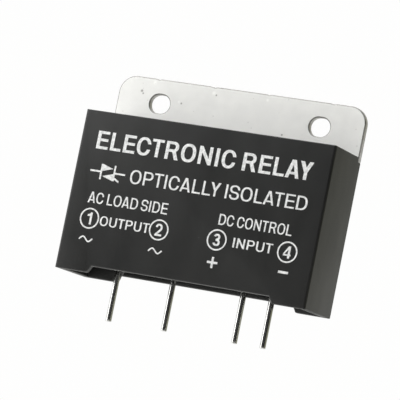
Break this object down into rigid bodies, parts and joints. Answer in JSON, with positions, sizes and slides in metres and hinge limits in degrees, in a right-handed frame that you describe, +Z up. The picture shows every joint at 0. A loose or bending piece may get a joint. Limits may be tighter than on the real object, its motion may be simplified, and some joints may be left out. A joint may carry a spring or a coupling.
{
  "type": "solid state relay",
  "caption": "Slim upright solid state relay for a circuit board: black moulded case, round pins below, and an aluminium base plate at the back whose tab has screw holes.",
  "frame": {"origin": "middle of the case, on the circuit board surface that the feet stand on", "axes": "+Z up from the circuit board towards the screw holes, +X along the pin row from pin 1 to pin 4, +Y towards the back of the base plate"},
  "size_m": [0.045, 0.012, 0.042],
  "materials": {
    "black_plastic": "satin black moulded case",
    "aluminium": "satin rolled sheet, lightly scuffed",
    "epoxy": "cast black epoxy",
    "tinned_wire": "bright tinned copper",
    "solder": "bright solder",
    "thermal_bond": "filled thermal adhesive",
    "alumina": "fired alumina",
    "copper": "bare copper",
    "silicon": "polished silicon",
    "board_laminate": "solder mask over glass laminate",
    "moulded_body": "moulded package",
    "capacitor_coat": "dipped film capacitor",
    "resistor_lacquer": "lacquer",
    "chip_resistor": "glazed chip with tinned ends"
  },
  "bodies": {
    "root": {"thermal_bond": "thermal_bond", "ceramic_substrate": "alumina", "load_pad_1": "copper", "thyristor_die_1": "silicon", "cathode_strap_1": "copper", "gate_wire_1": "tinned_wire", "load_strap_1": "copper", "load_pad_2": "copper", "thyristor_die_2": "silicon", "cathode_strap_2": "copper", "gate_wire_2": "tinned_wire", "load_strap_2": "copper", "pin_solder_1": "solder", "pin_solder_2": "solder", "pin_solder_3": "solder", "pin_solder_4": "solder", "optocoupler_body": "moulded_body", "optocoupler_lead_1": "tinned_wire", "optocoupler_lead_2": "tinned_wire", "optocoupler_lead_3": "tinned_wire", "optocoupler_lead_4": "tinned_wire", "optocoupler_lead_5": "tinned_wire", "optocoupler_lead_6": "tinned_wire", "snubber_capacitor": "capacitor_coat", "snubber_capacitor_lead_1": "tinned_wire", "snubber_capacitor_lead_2": "tinned_wire", "snubber_resistor": "resistor_lacquer", "snubber_resistor_lead_1": "tinned_wire", "snubber_resistor_lead_2": "tinned_wire", "reverse_diode": "moulded_body", "reverse_diode_lead_1": "tinned_wire", "reverse_diode_lead_2": "tinned_wire", "limiter_transistor": "moulded_body", "limiter_transistor_lead_1": "tinned_wire", "limiter_transistor_lead_2": "tinned_wire", "limiter_transistor_lead_3": "tinned_wire", "gate_resistor_1": "chip_resistor", "gate_resistor_2": "chip_resistor", "input_resistor_1": "chip_resistor", "input_resistor_2": "chip_resistor", "control_board": "board_laminate", "case_shell": "black_plastic", "base_plate": "aluminium", "terminal_pin_1": "tinned_wire", "terminal_pin_2": "tinned_wire", "terminal_pin_3": "tinned_wire", "terminal_pin_4": "tinned_wire", "epoxy_fill": "epoxy"}
  },
  "joints": []
}
